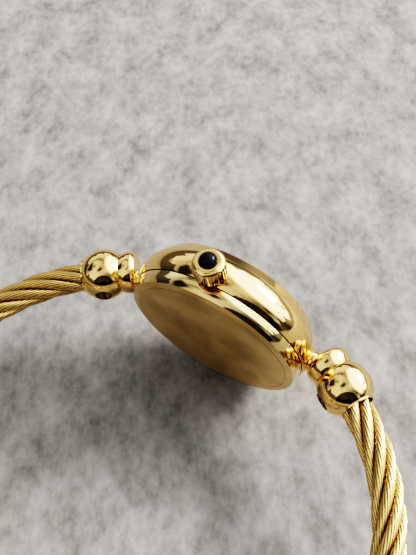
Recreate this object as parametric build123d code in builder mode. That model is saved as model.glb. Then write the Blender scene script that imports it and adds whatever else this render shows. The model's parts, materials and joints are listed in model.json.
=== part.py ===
from build123d import *
import os
from math import acos, asin, atan2, ceil, cos, degrees, hypot, pi, sin, sqrt

# Bangle watch: a small round quartz watch on two stiff arms of twisted cable.
# The pieces are modelled in the watch's own frame: X towards 3 o'clock (the crown), Y towards
# 12 o'clock, Z out of the dial, zero at the seam between the back cup and the middle case.
# They are then laid down as the watch rests, on its 9 o'clock side with the crown up.
# All sizes are in millimetres.

# Fits shared by all the pieces
fit = 0.02  # radial room of pieces that are pressed or set into each other
running = 0.03  # radial room of pieces that turn or slide
overrun = 1.0  # how far a cut runs past the face it opens
sides = {"12": 1, "6": -1}  # the two arms, by the hour they leave the case at

# Case, from the outside in
case_r = 12.13
case_bulge_h = 1.55
lip_inset = 0.4  # lower edge of the middle case, in from its widest point
seam_gap = 0.12
bezel_seat_h = 4.0
bezel_inset = 0.88
bezel_width = 1.95
bezel_height = 1.75
bezel_shoulder_inset = 0.7
bezel_shoulder_h = 1.05
cup_band_inset = 0.83
cup_band_h = 1.53
cup_rim_inset = 0.5
cup_wall = 0.72
cup_floor = 0.45
cup_shoulder_drop = 0.14
back_disc_inset = 1.0
back_groove_width = 0.12
back_groove_depth = 0.1
back_disc_drop = 0.17
collar_depth = 1.2
collar_wall = 1.15
collar_groove_h = 0.3
back_gasket_height = 0.45
back_gasket_width = 0.4

# Crystal and dial
spigot_wall = 1.1
crystal_seat_h = 4.4
crystal_ledge = 0.75
crystal_thickness = 1.1
crystal_bevel = 0.12
crystal_gasket_wall = 0.26
dial_top_h = 2.88
dial_thickness = 0.38
marker_height = 0.16
marker_width = 0.3
marker_length = 1.1
marker_inset = 0.7
marker_count = 12

# Movement and its holder
holder_share = 0.216  # of the bore's radius, as the holder's wall
plate_thickness = 1.6
holder_slot_width = 1.3
holder_back_room = 0.05
recess_depth = 0.8
bridge_gap = 0.75
bridge_thickness = 0.45
bridge_inset = 0.45
bridge_left_share = 0.157  # of the movement's radius, as the next ones
bridge_top_share = 0.47
pillar_r = 0.7
battery_thickness = 1.65
battery_angle = -135  # from 3 o'clock
battery_centre_room = 0.7
battery_edge_room = 0.15
battery_cap_inset = 0.8
battery_cap_height = 0.15
clip_thickness = 0.16
clip_width = 1.5
clip_screw_room = 0.85
coil_share = 0.732
coil_r = 0.65
coil_end_room = 0.3
core_edge_room = 0.88
core_width = 0.9
core_thickness = 0.5
core_pad_r = 0.7
core_drop = 0.9
board_thickness = 0.2
board_inner_share = 0.392
board_start_share = 0.29  # of a full turn, from 3 o'clock
board_end_share = 0.48
screw_head_r = 0.5
screw_head_height = 0.22
screw_shank_r = 0.28
screw_grip = 0.8
bridge_screw_shares = ((0.706, 0.3), (0.314, -0.758), (0.784, -0.418))
bridge_room = 0.2

# Motion work under the dial, and the hands
wheel_module = 0.1
wheel_centres = 2.4
cannon_teeth = 12
minute_wheel_teeth = 36
minute_pinion_teeth = 10
hour_wheel_teeth = 40
wheel_thickness = 0.2
wheel_gap = 0.06
cannon_r = 0.38
cannon_foot_r = 0.28
hour_pipe_wall = 0.18
hour_hand_h = 3.14
hand_thickness = 0.14
hand_gap = 0.26
cannon_tip = 0.14
minute_post_r = 0.25
hour_hand_room = 3.11  # from its tip to the edge of the visible dial
minute_hand_room = 1.01
hand_width = 0.85
hand_tip_width = 0.25
hand_boss_wall = 0.42
shown_hours = 10
shown_minutes = 9

# Crown, its tube and the winding stem
crown_h = 1.05
crown_stand = 0.62  # from the widest point of the case
crown_r = 1.95
crown_grip = 1.5
crown_bevel = 0.12
crown_height = 2.35
crown_collar = 0.14
crown_lip = 0.22
crown_lip_height = 0.16
flute_count = 30
flute_depth = 0.16
flute_out = 0.05
cabochon_r = 1.1
cabochon_seat = 0.3
cabochon_rise = 0.9
crown_bore_depth = 1.2
crown_gasket_wall = 0.5
crown_gasket_height = 0.3
crown_gasket_set = 0.12
crown_pull = 0.8
tube_r = 0.78
tube_bore_r = 0.48
tube_foot = 0.3
stem_r = 0.4
stem_grip = 0.7
stem_square = 0.5
stem_square_length = 2.9
stem_reach = 4.05  # in from the edge of the movement
setting_pinion_r = 0.72
setting_pinion_length = 1.4
setting_pinion_reach = 2.75

# Bangle: the two arms follow one ellipse in the plane of 12 and 6 o'clock
ring_half_width = 30.27
ring_half_depth = 26.56
strand_count = 6
cable_lead = 24.0
path_count = 12
cable_step = 1.0
cable_r = 1.92
strand_face_r = 0.9  # of the worn outer face of a strand

# Beads between the case and the cable
bead_stand = 5.17  # centre of the large bead, from the widest point of the case
bead_h = 0.05
bead_r = 3.36
bead_front = 2.25
bead_collar = 0.2
bead_lip = 0.16
cable_room = 0.14
bead_gap = 0.03
bead_pitch = 3.57
small_bead_r = 2.8
small_bead_round = 1.05
neck_h = 1.5
neck_r = 1.3
neck_stand = 0.1
neck_tail_r = 0.7
neck_tail = 1.0
peg_r = 0.9
peg_length = 3.1
socket_wall = 0.35
set_screw_r = 1.08
set_screw_sink = 0.5
set_screw_slot_width = 0.34
set_screw_slot_depth = 0.45
ear_length = 1.05
ear_r = 2.3

# Clasp at the back of the wrist
clasp_half_span = 3.4
hook_width = 2.6
hook_eye_r = 1.15
hook_bar_height = 1.7
hook_end_r = 1.45
hook_side_gap = 0.06
fork_wall = 0.85
fork_r = 1.35
fork_reach = 2.26  # from the pin to the bead, along the wrist
fork_throat = 1.85
clasp_pin_r = 0.5
hook_throat_room = 0.25

# Places that follow from the sizes above
lip_r = case_r - lip_inset
bezel_r = case_r - bezel_inset
bezel_crest_r = bezel_r - bezel_width
bezel_crest_h = bezel_seat_h + bezel_height
cup_edge_r = case_r - cup_band_inset
cup_rim_r = case_r - cup_rim_inset
back_disc_h = -cup_band_h - back_disc_drop
back_disc_r = cup_edge_r - back_disc_inset
collar_r = cup_rim_r - cup_wall
bore_r = collar_r - collar_wall
movement_r = (1 - holder_share) * bore_r
spigot_r = bezel_r - spigot_wall
bezel_bore_r = bezel_crest_r - crystal_gasket_wall
crystal_r = bezel_bore_r - crystal_gasket_wall - fit
flange_r = crystal_r - crystal_ledge
crystal_top_h = crystal_seat_h + crystal_thickness
dial_h = dial_top_h - dial_thickness
plate_h = dial_h - plate_thickness
recess_h = dial_h - recess_depth
bridge_h = plate_h - bridge_gap - bridge_thickness
battery_h = plate_h - battery_thickness
cup_inside_h = back_disc_h + cup_floor
hour_pipe_r = cannon_r + running + hour_pipe_wall
hour_hand_length = flange_r - hour_hand_room
minute_hand_length = flange_r - minute_hand_room
minute_hand_h = hour_hand_h + hand_thickness + hand_gap
cannon_top_h = minute_hand_h + hand_thickness + cannon_tip
lower_wheel_h = recess_h + wheel_gap
upper_wheel_h = lower_wheel_h + wheel_thickness + wheel_gap
neck_y = case_r + neck_stand
ear_start = neck_y - ear_length
bead_angle = asin((case_r + bead_stand) / ring_half_width)  # from the dial's axis, in radians
ring_centre_h = bead_h - ring_half_depth * cos(bead_angle)
clasp_bead_y = clasp_half_span + fork_reach + bead_r
clasp_angle = asin(clasp_bead_y / ring_half_width)  # from the ellipse's far end
crown_base_x = case_r + crown_stand
stem_inner_x = movement_r - stem_reach
setting_pinion_x = movement_r - setting_pinion_reach
cable_bore_r = cable_r + cable_room
bead_mouth_r = cable_bore_r + bead_lip
cable_socket = peg_length - bead_front + socket_wall
hook_room = hook_width / 2 + hook_side_gap


def ring_point(angle, side):
    """Point of the bangle's centre line, with the angle counted from the dial's axis."""
    return Vector(
        0, side * ring_half_width * sin(angle), ring_centre_h + ring_half_depth * cos(angle)
    )


def ring_direction(angle, side):
    """Direction of the centre line there, away from the watch."""
    return Vector(
        0, side * ring_half_width * cos(angle), -ring_half_depth * sin(angle)
    ).normalized()


def bead_plane(angle, side, along=1):
    """Plane through a bead: X along its axis and Y away from the wrist."""
    axis = along * ring_direction(angle, side)
    return Plane(ring_point(angle, side), x_dir=axis, z_dir=(along * side, 0, 0))


def polar(radius, turn):
    """Point at a radius and at a share of a full turn."""
    return (radius * cos(2 * pi * turn), radius * sin(2 * pi * turn))


def gear_outline(teeth, phase):
    """Corners of a spur wheel, four to a tooth, with a tooth at the phase, in shares of a pitch."""
    pitch_r = wheel_centres_r[teeth]
    root_r = pitch_r - tooth_root
    tip_r = pitch_r + tooth_tip
    corner_shares = ((root_r, -0.26), (tip_r, -0.12), (tip_r, 0.12), (root_r, 0.26))
    return [polar(r, (k + phase + s) / teeth) for k in range(teeth) for r, s in corner_shares]


# The wheels of each pair share the distance between their posts by their teeth
lower_pair = cannon_teeth + minute_wheel_teeth
upper_pair = minute_pinion_teeth + hour_wheel_teeth
wheel_centres_r = {
    cannon_teeth: wheel_centres * cannon_teeth / lower_pair,
    minute_wheel_teeth: wheel_centres * minute_wheel_teeth / lower_pair,
    minute_pinion_teeth: wheel_centres * minute_pinion_teeth / upper_pair,
    hour_wheel_teeth: wheel_centres * hour_wheel_teeth / upper_pair,
}
tooth_root = 1.2 * wheel_module
tooth_tip = 0.9 * wheel_module

# The cell lies between the centre of the movement and its edge, with a screw at each side
battery_r = (movement_r - battery_centre_room - battery_edge_room) / 2
battery_way = Vector(1, 0, 0).rotate(Axis.Z, battery_angle)
battery_centre = battery_way * (battery_centre_room + battery_r)
battery_spot = Location(battery_centre)
clip_screw_reach = battery_r + clip_screw_room
clip_side = battery_way.rotate(Axis.Z, 90) * clip_screw_reach
clip_screws = [(spot.X, spot.Y) for spot in (battery_centre + clip_side, battery_centre - clip_side)]
bridge_screws = [(x * movement_r, y * movement_r) for x, y in bridge_screw_shares]
coil_y = coil_share * movement_r
core_length = 2 * sqrt((movement_r - core_edge_room) ** 2 - coil_y**2)
coil_length = core_length - 2 * core_pad_r - 2 * coil_end_room
core_pads = [(way * core_length / 2, coil_y) for way in (1, -1)]
core_h = plate_h - core_drop - core_thickness / 2
screw_seats = [(x, y, bridge_h) for x, y in bridge_screws]
screw_seats += [(x, y, battery_h - clip_thickness) for x, y in clip_screws]
minute_spot = (-wheel_centres, 0)


# Case
with BuildPart() as case_middle:
    with BuildSketch(Plane.XZ):
        with BuildLine():
            Polyline(
                (bezel_r, bezel_seat_h),
                (spigot_r, bezel_seat_h),
                (spigot_r, crystal_seat_h),
                (flange_r, crystal_seat_h),
                (flange_r, dial_top_h),
                (bore_r, dial_top_h),
                (bore_r, -collar_depth),
                (collar_r, -collar_depth),
                (collar_r, -collar_groove_h - back_gasket_height),
                (collar_r - back_gasket_width, -collar_groove_h - back_gasket_height),
                (collar_r - back_gasket_width, -collar_groove_h),
                (collar_r, -collar_groove_h),
                (collar_r, seam_gap),
                (lip_r, seam_gap),
            )
            case_wall = ThreePointArc(
                (lip_r, seam_gap), (case_r, case_bulge_h), (bezel_r, bezel_seat_h)
            )
        make_face()
    revolve()
    # The ears taper out of the wall towards the necks of the bead posts
    for side in sides.values():
        ear_root = Plane((0, side * ear_start, neck_h), x_dir=(1, 0, 0), z_dir=(0, side, 0))
        with BuildSketch(ear_root):
            Circle(ear_r)
        extrude(amount=ear_length, taper=degrees(atan2(ear_r - neck_r, ear_length)))
    with BuildSketch(Plane.XY.offset(seam_gap)):
        Circle(neck_y + overrun)
        Circle(collar_r, mode=Mode.SUBTRACT)
    extrude(amount=-collar_depth - overrun, mode=Mode.SUBTRACT)
    for side in sides.values():
        with BuildSketch(Plane((0, side * neck_y, neck_h), x_dir=(1, 0, 0), z_dir=(0, side, 0))):
            Circle(neck_tail_r + fit)
        extrude(amount=-neck_tail, mode=Mode.SUBTRACT)
    with BuildSketch(Plane.YZ.offset(bore_r - overrun)):
        with Locations((0, crown_h)):
            Circle(tube_r + fit)
    extrude(amount=case_r - bore_r + 2 * overrun, mode=Mode.SUBTRACT)

with BuildPart() as front_bezel:
    with BuildSketch(Plane.XZ):
        with BuildLine():
            Polyline(
                (bezel_r, bezel_seat_h),
                (spigot_r + fit, bezel_seat_h),
                (spigot_r + fit, crystal_seat_h),
                (bezel_bore_r, crystal_seat_h),
                (bezel_bore_r, crystal_top_h),
                (bezel_crest_r, bezel_crest_h),
                (bezel_r - bezel_shoulder_inset, bezel_seat_h + bezel_shoulder_h),
                close=True,
            )
        make_face()
    revolve()

with BuildPart() as crystal:
    with BuildSketch(Plane.XY.offset(crystal_seat_h)):
        Circle(crystal_r)
    extrude(amount=crystal_thickness)
    chamfer(crystal.edges().group_by(Axis.Z)[-1], crystal_bevel)

with BuildPart() as crystal_gasket:
    with BuildSketch(Plane.XY.offset(crystal_seat_h)):
        Circle(bezel_bore_r - fit)
        Circle(crystal_r + fit, mode=Mode.SUBTRACT)
    extrude(amount=crystal_thickness - 2 * crystal_bevel)

# Snap back: a cup with a polished band, a sloping shoulder and a grooved flat disc
with BuildPart() as case_back:
    with BuildSketch(Plane.XZ):
        with BuildLine():
            groove_r = back_disc_r + back_groove_width
            Polyline(
                (0, cup_inside_h),
                (0, back_disc_h),
                (back_disc_r, back_disc_h),
                (back_disc_r, back_disc_h + back_groove_depth),
                (groove_r, back_disc_h + back_groove_depth),
                (groove_r, -cup_band_h - cup_shoulder_drop),
                (cup_edge_r, -cup_band_h),
                (cup_rim_r, 0),
                (collar_r + fit, 0),
                (collar_r + fit, cup_inside_h),
                close=True,
            )
        make_face()
    revolve()

with BuildPart() as case_back_gasket:
    with BuildSketch(Plane.XY.offset(-collar_groove_h)):
        Circle(collar_r)
        Circle(collar_r - back_gasket_width + fit, mode=Mode.SUBTRACT)
    extrude(amount=-back_gasket_height + fit)


# Dial, with a marker at each hour
with BuildPart() as dial:
    with BuildSketch(Plane.XY.offset(dial_h)):
        Circle(bore_r - fit)
        Circle(hour_pipe_r + running, mode=Mode.SUBTRACT)
    extrude(amount=dial_thickness)

with BuildPart() as hour_markers:
    with BuildSketch(Plane.XY.offset(dial_top_h)):
        with PolarLocations(flange_r - marker_inset - marker_length / 2, marker_count):
            Rectangle(marker_length, marker_width)
    extrude(amount=marker_height)


# Movement
with BuildPart() as movement_holder:
    with BuildSketch(Plane.XY.offset(dial_h)):
        Circle(bore_r - fit)
        Circle(movement_r + fit, mode=Mode.SUBTRACT)
    extrude(amount=cup_inside_h + holder_back_room - dial_h)
    with BuildSketch(Plane.XZ.offset(-holder_slot_width / 2)):
        with Locations((bore_r, cup_inside_h)):
            Rectangle(
                2 * (bore_r - movement_r + overrun),
                2 * (crown_h + holder_slot_width / 2 - cup_inside_h),
            )
    extrude(amount=holder_slot_width, mode=Mode.SUBTRACT)

with BuildPart() as main_plate:
    with BuildSketch(Plane.XY.offset(plate_h)):
        Circle(movement_r)
    extrude(amount=plate_thickness)
    with BuildSketch(Plane.XY.offset(recess_h)):
        Circle(wheel_centres_r[hour_wheel_teeth] + tooth_tip + 2 * wheel_gap)
        with Locations(minute_spot):
            Circle(wheel_centres_r[minute_wheel_teeth] + tooth_tip + 2 * wheel_gap)
    extrude(amount=recess_depth + overrun, mode=Mode.SUBTRACT)
    with BuildSketch(Plane.XY.offset(recess_h)):
        with Locations(minute_spot):
            Circle(minute_post_r)
    extrude(amount=upper_wheel_h + wheel_thickness - recess_h)
    with BuildSketch(Plane.XY.offset(plate_h)):
        Circle(cannon_r + running)
    extrude(amount=plate_thickness, mode=Mode.SUBTRACT)
    # Channel of the stem, with a wider pocket for the setting pinion
    with BuildSketch(Plane.XY.offset(plate_h)):
        with Locations(((stem_inner_x + movement_r + overrun) / 2, 0)):
            Rectangle(movement_r + overrun - stem_inner_x + 2 * fit, 2 * (stem_r + running))
    extrude(amount=crown_h + stem_r + running - plate_h, mode=Mode.SUBTRACT)
    with BuildSketch(Plane.XY.offset(plate_h)):
        with Locations((setting_pinion_x + setting_pinion_length / 2, 0)):
            Rectangle(setting_pinion_length + 2 * running, 2 * (setting_pinion_r + running))
    extrude(amount=crown_h + setting_pinion_r + running - plate_h, mode=Mode.SUBTRACT)
    for x, y, seat_h in screw_seats:
        with BuildSketch(Plane((x, y, plate_h))):
            Circle(screw_shank_r + fit)
        extrude(amount=screw_grip + fit, mode=Mode.SUBTRACT)

with BuildPart() as train_bridge:
    with BuildSketch(Plane.XY.offset(bridge_h)):
        Circle(movement_r - bridge_inset)
        with Locations(((1 - bridge_left_share) * movement_r, (bridge_top_share - 1) * movement_r)):
            Rectangle(2 * movement_r, 2 * movement_r, mode=Mode.INTERSECT)
        with Locations(battery_spot):
            Circle(battery_r + bridge_inset, mode=Mode.SUBTRACT)
        # The corner with the clip's screw stays open
        corner = tuple(place + pillar_r + bridge_room for place in clip_screws[0])
        with Locations(corner):
            Rectangle(
                2 * movement_r, 2 * movement_r, align=(Align.MAX, Align.MAX), mode=Mode.SUBTRACT
            )
    extrude(amount=bridge_thickness)
    with BuildSketch(Plane.XY.offset(bridge_h)):
        with Locations(*bridge_screws):
            Circle(pillar_r)
    extrude(amount=plate_h - bridge_h)
    with BuildSketch(Plane.XY.offset(bridge_h)):
        Circle(cannon_foot_r + running)
        with Locations(*bridge_screws):
            Circle(screw_shank_r + fit)
    extrude(amount=plate_h - bridge_h, mode=Mode.SUBTRACT)

with BuildPart() as circuit_board:
    with BuildSketch(Plane.XY.offset(plate_h - board_thickness)):
        with BuildLine():
            board_outer_r = movement_r - bridge_inset
            board_inner_r = board_inner_share * movement_r
            middle_share = (board_start_share + board_end_share) / 2
            outer = ThreePointArc(
                polar(board_outer_r, board_start_share),
                polar(board_outer_r, middle_share),
                polar(board_outer_r, board_end_share),
            )
            inner = ThreePointArc(
                polar(board_inner_r, board_start_share),
                polar(board_inner_r, middle_share),
                polar(board_inner_r, board_end_share),
            )
            Line(outer @ 0, inner @ 0)
            Line(outer @ 1, inner @ 1)
        make_face()
        with Locations(*core_pads):
            Circle(core_pad_r + fit, mode=Mode.SUBTRACT)
        with Locations(*clip_screws):
            Circle(pillar_r + fit, mode=Mode.SUBTRACT)
        with Locations(battery_spot):
            Circle(battery_r + fit, mode=Mode.SUBTRACT)
    extrude(amount=board_thickness)

with BuildPart() as coil_core:
    with BuildSketch(Plane.XY.offset(core_h)):
        with Locations((0, coil_y)):
            Rectangle(core_length, core_width)
        with Locations(*core_pads):
            Circle(core_pad_r)
    extrude(amount=core_thickness)
    with BuildSketch(Plane.XY.offset(core_h)):
        with Locations(*core_pads):
            Circle(core_pad_r)
    extrude(amount=plate_h - core_h)

with BuildPart() as coil_winding:
    with BuildSketch(Plane.YZ.offset(-coil_length / 2)):
        with Locations((coil_y, core_h + core_thickness / 2)):
            Circle(coil_r)
            Rectangle(core_width + 2 * fit, core_thickness + 2 * fit, mode=Mode.SUBTRACT)
    extrude(amount=coil_length)

with BuildPart() as battery:
    with BuildSketch(Plane.XY.offset(plate_h)):
        with Locations(battery_spot):
            Circle(battery_r - battery_cap_inset)
    extrude(amount=-battery_cap_height)
    with BuildSketch(Plane.XY.offset(plate_h - battery_cap_height)):
        with Locations(battery_spot):
            Circle(battery_r)
    extrude(amount=battery_cap_height - battery_thickness)

with BuildPart() as battery_clip:
    with BuildSketch(Plane.XY.offset(battery_h)):
        with Locations(Location(battery_centre, (0, 0, battery_angle))):
            Rectangle(clip_width, 2 * clip_screw_reach)
        with Locations(*clip_screws):
            Circle(pillar_r)
    extrude(amount=-clip_thickness)
    with BuildSketch(Plane.XY.offset(battery_h)):
        with Locations(*clip_screws):
            Circle(pillar_r)
    extrude(amount=plate_h - battery_h)
    with BuildSketch(Plane.XY.offset(battery_h - clip_thickness)):
        with Locations(*clip_screws):
            Circle(screw_shank_r + fit)
    extrude(amount=plate_h - battery_h + clip_thickness, mode=Mode.SUBTRACT)

with BuildPart() as movement_screws:
    for x, y, seat_h in screw_seats:
        with BuildSketch(Plane((x, y, seat_h))):
            Circle(screw_head_r)
        extrude(amount=-screw_head_height)
        with BuildSketch(Plane((x, y, seat_h))):
            Circle(screw_shank_r)
        extrude(amount=plate_h - seat_h + screw_grip)


# Motion work: cannon pinion, minute wheel and hour wheel, twelve turns to one
with BuildPart() as cannon_pinion:
    with BuildSketch(Plane.XY.offset(plate_h)):
        Circle(cannon_r)
    extrude(amount=cannon_top_h - plate_h)
    with BuildSketch(Plane.XY.offset(bridge_h)):
        Circle(cannon_foot_r)
    extrude(amount=plate_h - bridge_h)
    with BuildSketch(Plane.XY.offset(lower_wheel_h)):
        with BuildLine():
            Polyline(*gear_outline(cannon_teeth, 0.5), close=True)
        make_face()
    extrude(amount=wheel_thickness)

with BuildPart() as minute_wheel:
    with BuildSketch(Plane((*minute_spot, lower_wheel_h))):
        with BuildLine():
            Polyline(*gear_outline(minute_wheel_teeth, 0), close=True)
        make_face()
    extrude(amount=wheel_thickness)
    with BuildSketch(Plane((*minute_spot, lower_wheel_h))):
        with BuildLine():
            Polyline(*gear_outline(minute_pinion_teeth, 0), close=True)
        make_face()
    extrude(amount=upper_wheel_h + wheel_thickness - lower_wheel_h)
    with BuildSketch(Plane((*minute_spot, lower_wheel_h))):
        Circle(minute_post_r + running)
    extrude(amount=upper_wheel_h + wheel_thickness - lower_wheel_h, mode=Mode.SUBTRACT)

with BuildPart() as hour_wheel:
    with BuildSketch(Plane.XY.offset(upper_wheel_h)):
        with BuildLine():
            Polyline(*gear_outline(hour_wheel_teeth, 0.5), close=True)
        make_face()
    extrude(amount=wheel_thickness)
    with BuildSketch(Plane.XY.offset(upper_wheel_h)):
        Circle(hour_pipe_r)
    extrude(amount=hour_hand_h + hand_thickness - upper_wheel_h)
    with BuildSketch(Plane.XY.offset(upper_wheel_h)):
        Circle(cannon_r + running)
    extrude(amount=hour_hand_h + hand_thickness - upper_wheel_h, mode=Mode.SUBTRACT)


def hand(length, bore_r_, height, turn):
    """A tapered baton hand with a round boss, pointing at its hour."""
    with BuildPart() as piece:
        with BuildSketch(Plane.XY.offset(height).rotated((0, 0, turn))):
            with BuildLine():
                Polyline(
                    (-hand_width / 2, 0),
                    (hand_width / 2, 0),
                    (hand_tip_width / 2, length),
                    (-hand_tip_width / 2, length),
                    close=True,
                )
            make_face()
            Circle(bore_r_ + hand_boss_wall)
            Circle(bore_r_, mode=Mode.SUBTRACT)
        extrude(amount=hand_thickness)
    return piece


# Clockwise from 12 o'clock, in shares of a full turn
minute_share = shown_minutes / 60
hour_share = (shown_hours + minute_share) / 12
hour_hand = hand(hour_hand_length, hour_pipe_r + fit, hour_hand_h, -360 * hour_share)
minute_hand = hand(minute_hand_length, cannon_r + fit, minute_hand_h, -360 * minute_share)


# Crown and stem, on an axis through the wall at 3 o'clock
crown_axis = Axis((0, 0, crown_h), (1, 0, 0))
crown_profile = Plane((0, 0, crown_h), x_dir=(1, 0, 0), z_dir=(0, -1, 0))
crown_bore_x = crown_base_x + crown_bore_depth
crown_top_x = crown_base_x + crown_height
grip_top_x = crown_base_x + crown_grip
lip_foot_x = crown_top_x - crown_lip_height
lip_out_r = cabochon_r + fit + crown_lip
bore_r_crown = tube_r + running + crown_gasket_wall
cabochon_base_x = crown_top_x - cabochon_seat
dome_r = (cabochon_r**2 + cabochon_rise**2) / (2 * cabochon_rise)
dome_x = crown_top_x + cabochon_rise - dome_r
dome_half = atan2(cabochon_r, crown_top_x - dome_x) / 2

with BuildPart() as crown_tube:
    with BuildSketch(Plane.YZ.offset(bore_r + fit)):
        with Locations((0, crown_h)):
            Circle(tube_r)
            Circle(tube_bore_r, mode=Mode.SUBTRACT)
    extrude(amount=crown_bore_x - tube_foot / 2 - bore_r)

with BuildPart() as crown_body:
    with BuildSketch(crown_profile):
        with BuildLine():
            collar_r_crown = lip_out_r + crown_collar
            Polyline(
                (grip_top_x, crown_r),
                (crown_base_x + crown_bevel, crown_r),
                (crown_base_x, crown_r - crown_bevel),
                (crown_base_x, bore_r_crown + fit),
                (crown_bore_x, bore_r_crown + fit),
                (crown_bore_x, stem_r + fit),
                (crown_bore_x + stem_grip, stem_r + fit),
                (crown_bore_x + stem_grip, 0),
                (crown_top_x - cabochon_seat, 0),
                (crown_top_x - cabochon_seat, cabochon_r + fit),
                (crown_top_x, cabochon_r + fit),
                (crown_top_x, lip_out_r),
                (lip_foot_x, lip_out_r),
                (lip_foot_x, collar_r_crown),
            )
            # The shoulder rounds off from the grip to the collar's foot
            shoulder_drop = crown_r - collar_r_crown
            ThreePointArc(
                (lip_foot_x, collar_r_crown),
                (
                    grip_top_x + (lip_foot_x - grip_top_x) * sin(pi / 4),
                    crown_r - shoulder_drop * (1 - cos(pi / 4)),
                ),
                (grip_top_x, crown_r),
            )
        make_face()
    revolve(axis=crown_axis)
    # Flutes of the grip, which run out on the rounded shoulder
    with BuildSketch(Plane.YZ.offset(crown_base_x - overrun)):
        with Locations((0, crown_h)):
            with PolarLocations(crown_r + flute_out, flute_count):
                RegularPolygon(flute_depth + flute_out, side_count=4)
    extrude(amount=crown_height + overrun, mode=Mode.SUBTRACT)

with BuildPart() as crown_cabochon:
    with BuildSketch(crown_profile):
        with BuildLine():
            Polyline(
                (crown_top_x + cabochon_rise, 0),
                (cabochon_base_x, 0),
                (cabochon_base_x, cabochon_r),
                (crown_top_x, cabochon_r),
            )
            ThreePointArc(
                (crown_top_x, cabochon_r),
                (dome_x + dome_r * cos(dome_half), dome_r * sin(dome_half)),
                (crown_top_x + cabochon_rise, 0),
            )
        make_face()
    revolve(axis=crown_axis)

with BuildPart() as crown_gasket:
    with BuildSketch(Plane.YZ.offset(crown_base_x + crown_gasket_set)):
        with Locations((0, crown_h)):
            Circle(bore_r_crown)
            Circle(tube_r + running, mode=Mode.SUBTRACT)
    extrude(amount=crown_gasket_height)

with BuildPart() as stem:
    square_end_x = stem_inner_x + stem_square_length
    with BuildSketch(Plane.YZ.offset(square_end_x)):
        with Locations((0, crown_h)):
            Circle(stem_r)
    extrude(amount=crown_bore_x + stem_grip - square_end_x)
    with BuildSketch(Plane.YZ.offset(stem_inner_x)):
        with Locations((0, crown_h)):
            Rectangle(stem_square, stem_square)
    extrude(amount=stem_square_length)

with BuildPart() as setting_pinion:
    with BuildSketch(Plane.YZ.offset(setting_pinion_x)):
        with Locations((0, crown_h)):
            Circle(setting_pinion_r)
            Rectangle(stem_square + 2 * running, stem_square + 2 * running, mode=Mode.SUBTRACT)
    extrude(amount=setting_pinion_length)


# Arms of the bangle
def ball_r(radius, offset):
    """Radius of a ball's cross section at an offset from its middle."""
    return sqrt(radius**2 - offset**2)


def lug_post(side):
    """Neck, small bead and peg: pressed into the ear, and holding the arm's end bead."""
    plane = bead_plane(bead_angle, side)
    front = bead_pitch - bead_front - bead_gap
    back_r = small_bead_r - small_bead_round
    middle = Plane(plane.from_local_coords(Vector(-bead_pitch, 0, 0)), plane.x_dir, plane.z_dir)
    ear_face = Plane((0, side * neck_y, neck_h), x_dir=(1, 0, 0), z_dir=(0, side, 0))
    with BuildPart() as piece:
        with BuildSketch(middle):
            with BuildLine():
                Polyline(
                    (front, ball_r(small_bead_r, front)),
                    (front, peg_r),
                    (front + bead_gap + peg_length, peg_r),
                    (front + bead_gap + peg_length, 0),
                    (-small_bead_round, 0),
                    (-small_bead_round, back_r),
                )
                RadiusArc((-small_bead_round, back_r), (0, small_bead_r), small_bead_round)
                RadiusArc((0, small_bead_r), (front, ball_r(small_bead_r, front)), small_bead_r)
            make_face()
        revolve(axis=Axis(middle.origin, middle.x_dir))
        with BuildSketch(ear_face):
            Circle(neck_r)
        extrude(amount=(side * middle.origin.Y - neck_y))
        with BuildSketch(ear_face):
            Circle(neck_tail_r)
        extrude(amount=-neck_tail + fit)
    return piece


def bead_shell(plane):
    """Large bead, with a collared mouth bored for the cable."""
    neckline = ball_r(bead_r, bead_mouth_r)
    mouth = neckline + bead_collar
    with BuildPart() as piece:
        with BuildSketch(plane):
            with BuildLine():
                Polyline(
                    (neckline, bead_mouth_r),
                    (mouth, bead_mouth_r),
                    (mouth, cable_bore_r),
                    (cable_socket, cable_bore_r),
                    (cable_socket, 0),
                    (-bead_front, 0),
                    (-bead_front, ball_r(bead_r, bead_front)),
                )
                ThreePointArc(
                    (-bead_front, ball_r(bead_r, bead_front)),
                    (0, bead_r),
                    (neckline, bead_mouth_r),
                )
            make_face()
        revolve(axis=Axis(plane.origin, plane.x_dir))
    return piece


def end_bead(side):
    """Bead between the small bead and the cable, with a threaded hole for its set screw."""
    plane = bead_plane(bead_angle, side)
    wrist_side = Plane(plane.origin, x_dir=plane.x_dir, z_dir=-plane.y_dir)
    front_face = Plane(plane.from_local_coords(Vector(-bead_front, 0, 0)), z_dir=plane.x_dir)
    with BuildPart() as piece:
        add(bead_shell(plane).part)
        with BuildSketch(front_face):
            Circle(peg_r + fit)
        extrude(amount=peg_length + fit, mode=Mode.SUBTRACT)
        with BuildSketch(wrist_side):
            Circle(set_screw_r + fit)
        extrude(amount=bead_r + overrun, mode=Mode.SUBTRACT)
    return piece


with BuildPart() as bead_set_screws:
    for side in sides.values():
        plane = bead_plane(bead_angle, side)
        foot = Plane(
            plane.from_local_coords(Vector(0, -peg_r - fit, 0)), plane.x_dir, -plane.y_dir
        )
        screw_length = bead_r - set_screw_sink - peg_r - fit
        with BuildSketch(foot):
            Circle(set_screw_r)
        extrude(amount=screw_length)
        with BuildSketch(foot.offset(screw_length)):
            Rectangle(set_screw_slot_width, 2 * set_screw_r + fit)
        extrude(amount=-set_screw_slot_depth, mode=Mode.SUBTRACT)


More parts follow.
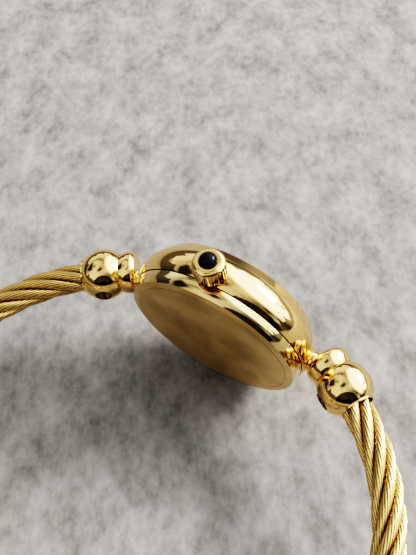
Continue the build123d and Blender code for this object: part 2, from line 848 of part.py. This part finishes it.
def cable_section(plane):
    """Section of the cable: the outer faces of the strands, as arcs that meet in the grooves."""
    half_pitch = pi / strand_count
    centre_r = cable_r - strand_face_r
    flank = centre_r * cos(half_pitch)
    groove_r = flank + sqrt(flank**2 - centre_r**2 + strand_face_r**2)
    with BuildSketch(plane) as section:
        with BuildLine():
            for k in range(strand_count):
                turn = 2 * k * half_pitch
                ThreePointArc(
                    (groove_r * cos(turn - half_pitch), groove_r * sin(turn - half_pitch)),
                    (cable_r * cos(turn), cable_r * sin(turn)),
                    (groove_r * cos(turn + half_pitch), groove_r * sin(turn + half_pitch)),
                )
        make_face()
    return section.sketch.faces()[0]


def cable_arm(side):
    """Six strands laid right-handed round a core, from the end bead to the clasp bead."""
    near_bead = bead_plane(bead_angle, side)
    far_bead = bead_plane(pi - clasp_angle, side, along=-1)
    seat = Vector(cable_socket + fit, 0, 0)
    stations = [
        bead_angle + share * (pi - clasp_angle - bead_angle)
        for share in [k / path_count for k in range(1, path_count)]
    ]
    centre_line = Spline(
        near_bead.from_local_coords(seat),
        *[ring_point(angle, side) for angle in stations],
        far_bead.from_local_coords(seat),
        tangents=(near_bead.x_dir, -far_bead.x_dir),
    )
    steps = ceil(centre_line.length / cable_step)
    lay = 360 * centre_line.length / cable_lead
    sections = []
    for share in [k / steps for k in range(steps + 1)]:
        heading = centre_line % share
        across = Vector(1, 0, 0).rotate(Axis((0, 0, 0), heading), lay * share)
        sections.append(cable_section(Plane(centre_line @ share, x_dir=across, z_dir=heading)))
    with BuildPart() as piece:
        loft(sections, ruled=True)
    return piece


# Clasp: a fork on each clasp bead, a hook on one and a bar across the other
def clasp_bead(side):
    """End bead of the far side, with a fork for the hook's pin or for its catch bar."""
    plane = bead_plane(pi - clasp_angle, side, along=-1)
    pin = clasp_plane(side)
    fork_way = plane.origin - pin.origin
    fork = Plane(pin.origin, x_dir=fork_way, z_dir=pin.z_dir)
    fork_span = fork_way.length - fork_r
    with BuildPart() as piece:
        add(bead_shell(plane).part)
        with BuildSketch(fork):
            with Locations((fork_span / 2, 0)):
                SlotCenterToCenter(fork_span, 2 * fork_r)
        extrude(amount=hook_room + fork_wall, both=True)
        with BuildSketch(fork):
            with Locations(((fork_throat - fork_r - overrun) / 2, 0)):
                Rectangle(fork_throat + fork_r + overrun, 2 * fork_r + 2 * overrun)
        extrude(amount=hook_room, both=True, mode=Mode.SUBTRACT)
        with BuildSketch(pin):
            Circle(clasp_pin_r + fit)
        extrude(amount=hook_room + fork_wall, both=True, mode=Mode.SUBTRACT)
    return piece


def clasp_plane(side):
    """Plane at the hook's pin or bar: X away from the clasp's middle and Z along the pin."""
    pin_h = ring_point(pi - clasp_half_span / ring_half_width, side).Z
    return Plane((0, side * clasp_half_span, pin_h), x_dir=(0, side, 0), z_dir=(side, 0, 0))


def clasp_cross_pin(side):
    """Pin through both ears of a fork."""
    with BuildPart() as piece:
        with BuildSketch(clasp_plane(side)):
            Circle(clasp_pin_r)
        extrude(amount=hook_room + fork_wall, both=True)
    return piece


with BuildPart() as clasp_hook:
    hook_plane = clasp_plane(1)
    hook_end = Vector(-2 * clasp_half_span, 0)
    throat = 2 * (clasp_pin_r + hook_throat_room)
    with BuildSketch(hook_plane):
        Circle(hook_eye_r)
        with Locations(hook_end / 2):
            Rectangle(2 * clasp_half_span, hook_bar_height)
        with Locations(hook_end):
            Circle(hook_end_r)
    extrude(amount=hook_width / 2, both=True)
    with BuildSketch(hook_plane):
        Circle(clasp_pin_r + running)
        with Locations(hook_end):
            Circle(throat / 2)
        with Locations(hook_end + Vector(0, hook_end_r)):
            Rectangle(throat, 2 * hook_end_r)
    extrude(amount=hook_width / 2, both=True, mode=Mode.SUBTRACT)

pieces = {
    "case_middle": case_middle,
    "front_bezel": front_bezel,
    "crystal": crystal,
    "crystal_gasket": crystal_gasket,
    "case_back": case_back,
    "case_back_gasket": case_back_gasket,
    "dial": dial,
    "hour_markers": hour_markers,
    "movement_holder": movement_holder,
    "main_plate": main_plate,
    "train_bridge": train_bridge,
    "circuit_board": circuit_board,
    "coil_core": coil_core,
    "coil_winding": coil_winding,
    "battery": battery,
    "battery_clip": battery_clip,
    "movement_screws": movement_screws,
    "cannon_pinion": cannon_pinion,
    "minute_wheel": minute_wheel,
    "hour_wheel": hour_wheel,
    "hour_hand": hour_hand,
    "minute_hand": minute_hand,
    "crown_tube": crown_tube,
    "crown_body": crown_body,
    "crown_cabochon": crown_cabochon,
    "crown_gasket": crown_gasket,
    "stem": stem,
    "setting_pinion": setting_pinion,
    "bead_set_screws": bead_set_screws,
    "clasp_hook": clasp_hook,
    "clasp_hinge_pin": clasp_cross_pin(1),
    "clasp_catch_bar": clasp_cross_pin(-1),
}
for hour, side in sides.items():
    pieces["lug_post_" + hour] = lug_post(side)
    pieces["end_bead_" + hour] = end_bead(side)
    pieces["cable_arm_" + hour] = cable_arm(side)
    pieces["clasp_bead_" + hour] = clasp_bead(side)

# The watch lies on the round wall of its case and on the two clasp beads, which sets its tilt
rest_r = case_wall.arc_center.X
rest_depth = case_wall.arc_center.Y - ring_point(pi - clasp_angle, 1).Z
rest_reach = bead_r - case_wall.radius
tilt = acos(rest_reach / hypot(rest_r, rest_depth)) - atan2(rest_depth, rest_r)
tilted = Plane((0, 0, 0), x_dir=(0, sin(tilt), cos(tilt)), z_dir=(0, -cos(tilt), sin(tilt)))
laid = {name: piece.part.moved(tilted.location) for name, piece in pieces.items()}
boxes = [part.bounding_box() for part in laid.values()]
low = [min(axis) for axis in zip(*(tuple(box.min) for box in boxes))]
high = [max(axis) for axis in zip(*(tuple(box.max) for box in boxes))]
origin = (-(low[0] + high[0]) / 2, -(low[1] + high[1]) / 2, -low[2])
standing = Location(origin)

os.makedirs("parts", exist_ok=True)
for name, part in laid.items():
    part = part.moved(standing)
    part.label = name
    export_step(part, f"parts/{name}.step")
print("tilt", degrees(tilt), "case centre", origin, "size", [h - l for l, h in zip(low, high)])
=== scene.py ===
import json
import math

import bpy
import numpy as np
from mathutils import Euler, Matrix, Vector


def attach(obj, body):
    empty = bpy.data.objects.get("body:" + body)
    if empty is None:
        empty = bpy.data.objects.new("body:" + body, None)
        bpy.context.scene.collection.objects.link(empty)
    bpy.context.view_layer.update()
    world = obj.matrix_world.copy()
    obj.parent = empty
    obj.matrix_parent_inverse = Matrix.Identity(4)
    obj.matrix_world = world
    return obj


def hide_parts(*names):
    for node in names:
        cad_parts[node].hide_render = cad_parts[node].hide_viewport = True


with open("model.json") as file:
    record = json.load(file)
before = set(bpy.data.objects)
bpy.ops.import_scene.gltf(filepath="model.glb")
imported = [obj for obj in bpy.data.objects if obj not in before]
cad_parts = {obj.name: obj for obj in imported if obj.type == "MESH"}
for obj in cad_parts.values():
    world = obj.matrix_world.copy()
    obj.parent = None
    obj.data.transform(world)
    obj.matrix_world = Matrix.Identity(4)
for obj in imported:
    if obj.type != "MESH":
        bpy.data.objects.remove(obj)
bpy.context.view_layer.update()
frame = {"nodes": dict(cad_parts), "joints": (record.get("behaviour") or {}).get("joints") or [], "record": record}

# Bangle watch, seen from behind and above as it lies on the wall of its case and on its clasp
# beads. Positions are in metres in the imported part's frame. What follows the watch's own shape
# is worked out in millimetres in the watch's frame: X towards the crown, Y towards 12 o'clock
# and Z out of the dial.
MM = 0.001

# Viewing angle of the photograph: metres, degrees, and millimetres for the lens and sensor
CAMERA_SPOT = (-0.02795, 0.02475, 0.08998)
CAMERA_AZIMUTH = -147.70
CAMERA_ELEVATION = 51.63
CAMERA_ROLL = -2.02
CAMERA_LENS = 49.2
SENSOR_WIDTH = 36
CLIP_START = 0.005

# The window: a lamp for its light and a glow in the room for its reflection. An edge is where
# a glow or shade begins and where it is full, as the cosine of the angle to its middle.
WINDOW_WAY = (-0.60, -0.77, 0.62)
WINDOW_DISTANCE = 0.7
WINDOW_SIZE = (0.34, 0.2)
WINDOW_LIGHT = 17.0
WINDOW_GLOW = 5.0
WINDOW_EDGE = (0.62, 0.80)

# The dark figure of whoever stands at the table
FIGURE_WAY = (-0.52, 0.83, 0.15)
FIGURE_EDGE = (0.74, 0.78)
FIGURE_LIGHT = 0.03

# Walls: pale with a few dark patches, and a slow drift of their brightness
WALL_LIGHT = (0.04, 0.90)
WALL_PATCHES = (1.7, 1.5)
WALL_PATCH_EDGE = (0.32, 0.44)
DRIFT_LIGHT = (0.35, 1.5)
DRIFT = (0.9, 1.0)
DRIFT_EDGE = (0.35, 0.65)
DAYLIGHT = (0.96, 0.98, 1.0)
BACK_WALL = (0.55, 0.54, 0.52)

# Dark, ragged skyline low round the room: the heights that its top goes between and the
# height over which it fades
SKYLINE_LIGHT = 0.08
SKYLINE_TOP = (0.07, 0.42)
SKYLINE_TEETH = (3.5, 2.5)
SKYLINE_TEETH_EDGE = (0.3, 0.7)
SKYLINE_FADE = 0.09

# Floor, with its grain's turn in degrees and how much longer than wide the grain is
FLOOR_SIZE = 9
FLOOR_GRAIN_TURN = -148
FLOOR_GRAIN = 1.6
FLOOR_CONTRAST = (0.70, 1.30)
FLOOR_COLOURS = ((0.068, 0.063, 0.057), (0.196, 0.180, 0.166))

# Cable, with the sizes of the part's source
RING_HALF_WIDTH = 30.27
RING_HALF_DEPTH = 26.56
RING_CENTRE_H = -21.745
BEAD_ANGLE = 0.6084
CLASP_ANGLE = 0.3026
SEAT = 1.22
CABLE_LEAD = 24.0
STRAND_COUNT = 6
STRAND_LAY_R = 1.28
STRAND_R = 0.63
WIRE_COUNT = 12
WIRE_R = 0.165
WIRE_LEAD = 8.6

# Mesh of the cable: points across a wire, steps that the centre line is measured in and the
# length between two rings of points
WIRE_POINTS = 6
CENTRE_LINE_STEPS = 4000
STATION_STEP = 0.25

# Painted shade of the cable's colour: radii of full painted shade and of none, and how sharply the painted shade
# parts the wires
GROOVE_R = 1.25
CREST_R = 1.82
WIRE_SHADE = 14

# Back cup: height of the polished band, from the seam to the satin face, and its bulge, then
# the heights over the face where the satin begins and where it is full
CUP_BAND_H = 1.53
BAND_CROWN = 0.14
SATIN_FADE = (0.03, -0.01)
SATIN_ROUGHNESS = (0.20, 0.46)
BAND_ROUGHNESS = 0.05

# Depth in millimetres of the finest relief of a finish
RELIEF_DEPTH = 0.02

joints = {joint["name"]: joint for joint in frame["joints"]}
crown_way = Vector(joints["crown_spin"]["axis"]).normalized()
dial_way = -Vector(joints["minute_hand_spin"]["axis"]).normalized()
noon_way = dial_way.cross(crown_way)
case_centre = Vector(joints["minute_hand_spin"]["pos_m"])
watch = Matrix((crown_way, noon_way, dial_way)).transposed()


def laid(point):
    """A point of the watch's own frame, in millimetres, as it lies in the scene."""
    return case_centre + watch @ Vector(point) * MM


# Node trees


class Nodes:
    """A node tree, with short calls for the nodes that the finishes and the room share."""

    def __init__(self, tree, coordinate):
        self.tree = tree
        self.place = self.node("ShaderNodeTexCoord", {}).outputs[coordinate]

    def fill(self, socket, value):
        """Links a socket to another node's output, or gives it a constant."""
        if isinstance(value, bpy.types.NodeSocket):
            self.tree.links.new(value, socket)
        else:
            socket.default_value = value

    def node(self, kind, inputs, **settings):
        made = self.tree.nodes.new(kind)
        for key, value in settings.items():
            setattr(made, key, value)
        for key, value in inputs.items():
            self.fill(made.inputs[key], value)
        return made

    def noise(self, scale, detail, vector=None, roughness=0.5):
        inputs = {
            "Vector": vector or self.place,
            "Scale": scale,
            "Detail": detail,
            "Roughness": roughness,
        }
        return self.node("ShaderNodeTexNoise", inputs).outputs["Fac"]

    def maths(self, operation, *values):
        inputs = dict(enumerate(values))
        return self.node("ShaderNodeMath", inputs, operation=operation).outputs["Value"]

    def along(self, direction):
        """How far each place lies along a direction."""
        inputs = {0: self.place, 1: direction}
        made = self.node("ShaderNodeVectorMath", inputs, operation="DOT_PRODUCT")
        return made.outputs["Value"]

    def spread(self, value, found=(0, 1), wanted=(0, 1), curve="LINEAR"):
        """Carries a value from one range to another, held at both ends."""
        inputs = {
            "Value": value,
            "From Min": found[0],
            "From Max": found[1],
            "To Min": wanted[0],
            "To Max": wanted[1],
        }
        made = self.node("ShaderNodeMapRange", inputs, interpolation_type=curve)
        return made.outputs["Result"]


class Finish(Nodes):
    """A material whose look follows the place on the object."""

    def __init__(self, name):
        self.material = bpy.data.materials.new(name)
        self.material.use_nodes = True
        super().__init__(self.material.node_tree, "Object")
        self.surface = self.tree.nodes["Principled BSDF"]

    def give(self, sockets):
        for name, value in sockets.items():
            self.fill(self.surface.inputs[name], value)

    def colour(self, value, colours):
        """A colour that goes from the first to the second as the value rises."""
        inputs = {"Factor": value, "A": (*colours[0], 1), "B": (*colours[1], 1)}
        return self.node("ShaderNodeMix", inputs, data_type="RGBA").outputs["Result"]

    def bump(self, height, strength, depth=RELIEF_DEPTH):
        """Adds a relief to what the surface has already."""
        inputs = {"Height": height, "Strength": strength, "Distance": depth * MM}
        made = self.node("ShaderNodeBump", inputs)
        normal = self.surface.inputs["Normal"]
        if normal.is_linked:
            self.tree.links.new(normal.links[0].from_socket, made.inputs["Normal"])
        self.tree.links.new(made.outputs["Normal"], normal)


# Finishes


def finish(name, colours, mottle, roughness, wear=None, relief=None, strength=0.1, fixed=None):
    """A plain finish. Two colours are mottled by one noise, the roughness goes between two
    values by another and a third is the relief. Each noise has its scale and its detail, and a
    finish with no wear has one roughness."""
    made = Finish(name)
    made.give({"Base Color": made.colour(made.noise(*mottle), colours), **(fixed or {})})
    if wear:
        roughness = made.spread(made.noise(*wear), wanted=roughness)
    made.give({"Roughness": roughness})
    if relief:
        made.bump(made.noise(*relief), strength)
    return made.material


def worked_metal(name, colours, roughness, grain=1400):
    """Plain metal of the movement: a fine ground or stamped surface."""
    return finish(
        name,
        colours,
        mottle=(grain / 4, 3),
        roughness=roughness,
        wear=(grain, 3),
        relief=(2 * grain, 2),
        fixed={"Metallic": 1.0},
    )


def moulded(name, colours):
    """Moulded plastic with a faint eggshell surface."""
    return finish(
        name,
        colours,
        mottle=(700, 3),
        roughness=(0.45, 0.6),
        wear=(2200, 2),
        relief=(3000, 2),
    )


def satin_gold():
    """Case back: a satin face with a fine grain and faint handling marks, a polished band."""
    gold = Finish("satin_gold")
    height = gold.along(dial_way)
    face = case_centre.dot(dial_way) - CUP_BAND_H * MM
    satin = gold.spread(height, [face + step * MM for step in SATIN_FADE])
    handling = gold.noise(200, 4)
    stretched = gold.node("ShaderNodeMapping", {"Vector": gold.place, "Scale": (1, 6, 1)})
    marks = gold.noise(700, 2, stretched.outputs["Vector"])
    wear_and_painted_shade = gold.spread(gold.maths("ADD", handling, marks), wanted=SATIN_ROUGHNESS)
    gold.give(
        {
            "Metallic": 1.0,
            "Base Color": gold.colour(
                gold.spread(handling, (0.36, 0.64)), ((0.63, 0.41, 0.14), (0.88, 0.62, 0.27))
            ),
            "Roughness": gold.maths(
                "MAXIMUM", gold.maths("MULTIPLY", wear_and_painted_shade, satin), BAND_ROUGHNESS
            ),
        }
    )
    rise = gold.spread(height, (face, face + CUP_BAND_H * MM), (0, math.pi))
    gold.bump(gold.maths("SINE", rise), 1.0, BAND_CROWN)
    gold.bump(gold.maths("MULTIPLY", gold.noise(5200, 2), satin), 0.2, 0.03)
    return gold.material


def cable_gold():
    """Wires of the cable: softer plating, with painted light on the crests and painted shade in the grooves."""
    gold = Finish("cable_gold")
    painted_crest_light = gold.node("ShaderNodeAttribute", {}, attribute_name="painted_crest_light").outputs["Fac"]
    # painted shade of the grooves, varied by a random change of tone
    wear_and_painted_shade = gold.maths("MULTIPLY", painted_crest_light, gold.spread(gold.noise(300, 4), wanted=(0.8, 1.1)))
    gold.give(
        {
            "Metallic": 1.0,
            # near black as painted shade in the grooves, bright gold as painted light on the crests
            "Base Color": gold.colour(wear_and_painted_shade, ((0.05, 0.023, 0.005), (0.96, 0.59, 0.18))),
            "Roughness": gold.spread(gold.noise(1500, 3), wanted=(0.14, 0.27)),
        }
    )
    gold.bump(gold.noise(4000, 2), 0.12)
    return gold.material


def painted_recess_shade_gold():
    """Plating of the recessed screws, dulled where no polish reaches, its colour darkened as painted shade of the
    recess.
    """
    return finish(
        "painted_recess_shade_gold",
        # dark colours: painted shade of the screws' recess
        ((0.05, 0.03, 0.008), (0.17, 0.115, 0.04)),
        mottle=(900, 4),
        roughness=(0.28, 0.45),
        wear=(1800, 3),
        relief=(5200, 2),
        strength=0.2,
        fixed={"Metallic": 1.0},
    )


def slot_finishes():
    """The finish of every material slot in the record."""
    return {
        # mirror-bright plating with hairline wear and a slight change of colour
        "polished_gold": finish(
            "polished_gold",
            ((0.90, 0.54, 0.16), (0.97, 0.64, 0.24)),
            mottle=(220, 3),
            roughness=(0.03, 0.09),
            wear=(900, 4),
            relief=(2600, 2),
            strength=0.04,
            fixed={"Metallic": 1.0},
        ),
        "satin_gold": satin_gold(),
        "cable_gold": cable_gold(),
        "crystal": finish(
            "crystal_glass",
            ((0.97, 0.98, 0.98), (1.0, 1.0, 1.0)),
            mottle=(60, 2),
            roughness=0.01,
            fixed={"IOR": 1.5, "Transmission Weight": 1.0},
        ),
        "gasket": finish(
            "gasket_rubber",
            ((0.035, 0.008, 0.006), (0.07, 0.018, 0.012)),
            mottle=(1200, 3),
            roughness=(0.5, 0.7),
            wear=(2400, 2),
        ),
        "clear_gasket": finish(
            "clear_nylon",
            ((0.80, 0.79, 0.75), (0.88, 0.87, 0.83)),
            mottle=(900, 2),
            roughness=(0.3, 0.45),
            wear=(1800, 2),
            fixed={"Subsurface Weight": 0.1},
        ),
        "black_dial": finish(
            "black_lacquer",
            ((0.003, 0.003, 0.0035), (0.007, 0.0065, 0.0065)),
            mottle=(500, 4),
            roughness=(0.18, 0.3),
            wear=(1600, 3),
            fixed={"Specular IOR Level": 0.2},
        ),
        # polished black stone
        "black_cabochon": finish(
            "onyx",
            ((0.001, 0.001, 0.0012), (0.003, 0.003, 0.0036)),
            mottle=(700, 3),
            roughness=0.04,
            fixed={"IOR": 1.5, "Specular IOR Level": 0.05},
        ),
        "movement_brass": worked_metal(
            "movement_brass", ((0.62, 0.45, 0.18), (0.75, 0.58, 0.27)), (0.25, 0.4)
        ),
        "movement_steel": worked_metal(
            "movement_steel", ((0.52, 0.52, 0.54), (0.66, 0.66, 0.68)), (0.2, 0.38)
        ),
        "copper_wire": worked_metal(
            "copper_wire", ((0.55, 0.22, 0.08), (0.74, 0.36, 0.16)), (0.25, 0.4), grain=3000
        ),
        "holder_plastic": moulded("holder_plastic", ((0.72, 0.72, 0.69), (0.82, 0.82, 0.80))),
        "board": moulded("board", ((0.02, 0.14, 0.06), (0.04, 0.22, 0.10))),
    }


def dress_nodes(finishes):
    """Gives every CAD node the finish of its slot, and the screws a darker one with painted recess shade."""
    for subpart in frame["record"]["subparts"]:
        data = frame["nodes"][subpart["node"]].data
        data.materials.clear()
        data.materials.append(finishes[subpart["material_slot"]])
    # the screws' darker colour is painted shade of their recess
    frame["nodes"]["bead_set_screws"].data.materials[0] = painted_recess_shade_gold()


# Twisted cable


def ring_point(angle, side):
    """Point of the bangle's centre line in the watch's frame."""
    return Vector(
        (
            0,
            side * RING_HALF_WIDTH * math.sin(angle),
            RING_CENTRE_H + RING_HALF_DEPTH * math.cos(angle),
        )
    )


def centre_line(side):
    """Evenly spaced points of an arm's centre line, their headings and their lengths run."""
    first, last = BEAD_ANGLE, math.pi - CLASP_ANGLE
    angles = [
        first + (last - first) * k / CENTRE_LINE_STEPS for k in range(CENTRE_LINE_STEPS + 1)
    ]
    points = np.array([ring_point(angle, side) for angle in angles])
    run = np.concatenate([[0], np.cumsum(np.linalg.norm(np.diff(points, axis=0), axis=1))])
    count = math.ceil((run[-1] - 2 * SEAT) / STATION_STEP)
    places = np.linspace(SEAT, run[-1] - SEAT, count + 1)
    spots = np.stack([np.interp(places, run, points[:, axis]) for axis in range(3)], axis=1)
    heads = np.gradient(spots, axis=0)
    heads /= np.linalg.norm(heads, axis=1)[:, None]
    return spots, heads, places - SEAT


def wire_outline():
    """Outline of one strand: the outer sides of its wires, as radii by angle."""
    angles = np.arange(WIRE_COUNT * WIRE_POINTS) * 2 * math.pi / (WIRE_COUNT * WIRE_POINTS)
    pitch = 2 * math.pi / WIRE_COUNT
    off = (angles + pitch / 2) % pitch - pitch / 2
    lay = STRAND_R - WIRE_R
    return angles, lay * np.cos(off) + np.sqrt(WIRE_R**2 - (lay * np.sin(off)) ** 2)


def strand(side, start_turn):
    """One strand, wound round the centre line with its wires showing: its vertices, its faces
    and the painted shade of each vertex's colour, from 0 dark in a groove to 1 bright on a crest."""
    spots, heads, run = centre_line(side)
    angles, radii = wire_outline()
    across = np.array([1.0, 0.0, 0.0])
    beside = np.cross(heads, across)
    turn = start_turn + 2 * math.pi * run / CABLE_LEAD
    outward = np.cos(turn)[:, None] * across + np.sin(turn)[:, None] * beside
    around = np.cross(heads, outward)
    middle = spots + STRAND_LAY_R * outward
    lay_angle = math.atan(2 * math.pi * STRAND_LAY_R / CABLE_LEAD)
    along = math.cos(lay_angle) * heads + math.sin(lay_angle) * around
    sideways = np.cross(along, outward)
    wires = angles[None, :] - 2 * math.pi * run[:, None] / WIRE_LEAD
    rows = (
        middle[:, None, :]
        + (radii * np.cos(wires))[:, :, None] * outward[:, None, :]
        + (radii * np.sin(wires))[:, :, None] * sideways[:, None, :]
    )
    reach = np.linalg.norm(rows - spots[:, None, :], axis=2)
    # painted shade: the colour darkens towards the cable's middle, between strands and between the wires of a
    # strand
    lifted = np.clip((reach - GROOVE_R) / (CREST_R - GROOVE_R), 0, 1)
    painted_crest_light = lifted * (radii / STRAND_R) ** WIRE_SHADE
    vertices = [laid(p) for p in rows.reshape(-1, 3)]
    columns = len(angles)
    faces = [
        (
            r * columns + k,
            r * columns + (k + 1) % columns,
            (r + 1) * columns + (k + 1) % columns,
            (r + 1) * columns + k,
        )
        for r in range(len(run) - 1)
        for k in range(columns)
    ]
    faces.append(tuple(reversed(range(columns))))
    faces.append(tuple(range((len(run) - 1) * columns, len(run) * columns)))
    return vertices, faces, painted_crest_light.ravel()


def cable(side, hour, gold):
    """Six strands of twelve wires each, standing for the arm's solid."""
    for k in range(STRAND_COUNT):
        vertices, faces, painted_crest_light = strand(side, 2 * math.pi * k / STRAND_COUNT)
        mesh = bpy.data.meshes.new(f"strand_{hour}_{k + 1}")
        mesh.from_pydata(vertices, [], faces)
        mesh.shade_smooth()
        # the painted light and shade of each vertex, kept for the cable's finish
        mesh.attributes.new("painted_crest_light", "FLOAT", "POINT").data.foreach_set("value", painted_crest_light)
        mesh.materials.append(gold)
        piece = bpy.data.objects.new(f"strand_{hour}_{k + 1}", mesh)
        bpy.context.scene.collection.objects.link(piece)
        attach(piece, "case")
        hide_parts("cable_arm_" + hour)


# Stage


def floor():
    """A plain pale floor with a soft, slightly grainy mottle."""
    bpy.ops.mesh.primitive_plane_add(size=FLOOR_SIZE)
    piece = bpy.context.object
    piece.name = "floor"
    pale = Finish("floor")
    drawn = pale.node(
        "ShaderNodeMapping",
        {
            "Vector": pale.place,
            "Rotation": (0, 0, math.radians(FLOOR_GRAIN_TURN)),
            "Scale": (1, FLOOR_GRAIN, 1),
        },
        vector_type="TEXTURE",
    ).outputs["Vector"]
    clouds = pale.noise(210, 2, drawn)
    grain = pale.noise(760, 4, drawn, roughness=0.65)
    tone = pale.spread(pale.maths("ADD", clouds, grain), FLOOR_CONTRAST)
    pale.give(
        {
            "Base Color": pale.colour(tone, FLOOR_COLOURS),
            "Roughness": 0.9,
            "Specular IOR Level": 0.2,
        }
    )
    piece.data.materials.append(pale.material)


def room():
    """A room round the watch: pale, bright about the window, dark where someone stands and
    low down. Seen straight on, it is a plain pale wall."""
    world = bpy.data.worlds.new("room")
    bpy.context.scene.world = world
    world.use_nodes = True
    air = Nodes(world.node_tree, "Generated")
    light = air.tree.nodes["Background"]

    def smooth(value, found, wanted):
        return air.spread(value, found, wanted, "SMOOTHSTEP")

    def lobe(centre, edge, wanted):
        """A value that goes from the first wanted to the second towards a direction."""
        return smooth(air.along(Vector(centre).normalized()), edge, wanted)

    patches = smooth(air.noise(*WALL_PATCHES), WALL_PATCH_EDGE, WALL_LIGHT)
    drift = smooth(air.noise(*DRIFT), DRIFT_EDGE, DRIFT_LIGHT)
    walls = air.maths("MULTIPLY", patches, drift)
    glow = lobe(WINDOW_WAY, WINDOW_EDGE, (0.0, WINDOW_GLOW))
    figure = lobe(FIGURE_WAY, FIGURE_EDGE, (1.0, FIGURE_LIGHT))
    height = air.node("ShaderNodeSeparateXYZ", {0: air.place}).outputs["Z"]
    top = smooth(air.noise(*SKYLINE_TEETH), SKYLINE_TEETH_EDGE, SKYLINE_TOP)
    over = air.maths("SUBTRACT", height, top)
    skyline = smooth(over, (0.0, SKYLINE_FADE), (SKYLINE_LIGHT, 1.0))
    bright = air.maths("MULTIPLY", air.maths("ADD", walls, glow), skyline)
    air.fill(light.inputs["Strength"], air.maths("MULTIPLY", bright, figure))
    air.fill(light.inputs["Color"], (*DAYLIGHT, 1))

    wall = air.node("ShaderNodeBackground", {"Color": (*BACK_WALL, 1)}).outputs[0]
    straight_on = air.node("ShaderNodeLightPath", {}).outputs["Is Camera Ray"]
    seen = air.node("ShaderNodeMixShader", {0: straight_on, 1: light.outputs[0], 2: wall})
    air.fill(air.tree.nodes["World Output"].inputs["Surface"], seen.outputs[0])


def window():
    """The soft light of the window, aimed at the watch."""
    lamp = bpy.data.lights.new("window", "AREA")
    lamp.shape = "ELLIPSE"
    lamp.size, lamp.size_y = WINDOW_SIZE
    lamp.energy = WINDOW_LIGHT
    piece = bpy.data.objects.new("window", lamp)
    piece.location = Vector(WINDOW_WAY).normalized() * WINDOW_DISTANCE
    piece.rotation_euler = (-piece.location).to_track_quat("-Z", "Y").to_euler()
    bpy.context.scene.collection.objects.link(piece)


def studio():
    bpy.context.scene.view_settings.view_transform = "Filmic"
    bpy.context.scene.view_settings.look = "High Contrast"
    floor()
    room()
    window()


def camera():
    lens = bpy.data.cameras.new("camera")
    lens.lens = CAMERA_LENS
    lens.sensor_width = SENSOR_WIDTH
    lens.clip_start = CLIP_START
    piece = bpy.data.objects.new("camera", lens)
    piece.location = CAMERA_SPOT
    turn = Euler((0, 0, math.radians(CAMERA_AZIMUTH))).to_matrix()
    lean = Euler((math.radians(90 - CAMERA_ELEVATION), 0, 0)).to_matrix()
    roll = Euler((0, 0, math.radians(CAMERA_ROLL))).to_matrix()
    piece.rotation_euler = (turn @ lean @ roll).to_euler()
    bpy.context.scene.collection.objects.link(piece)
    bpy.context.scene.camera = piece


finishes = slot_finishes()
dress_nodes(finishes)
cable(1, "12", finishes["cable_gold"])
cable(-1, "6", finishes["cable_gold"])
studio()
camera()
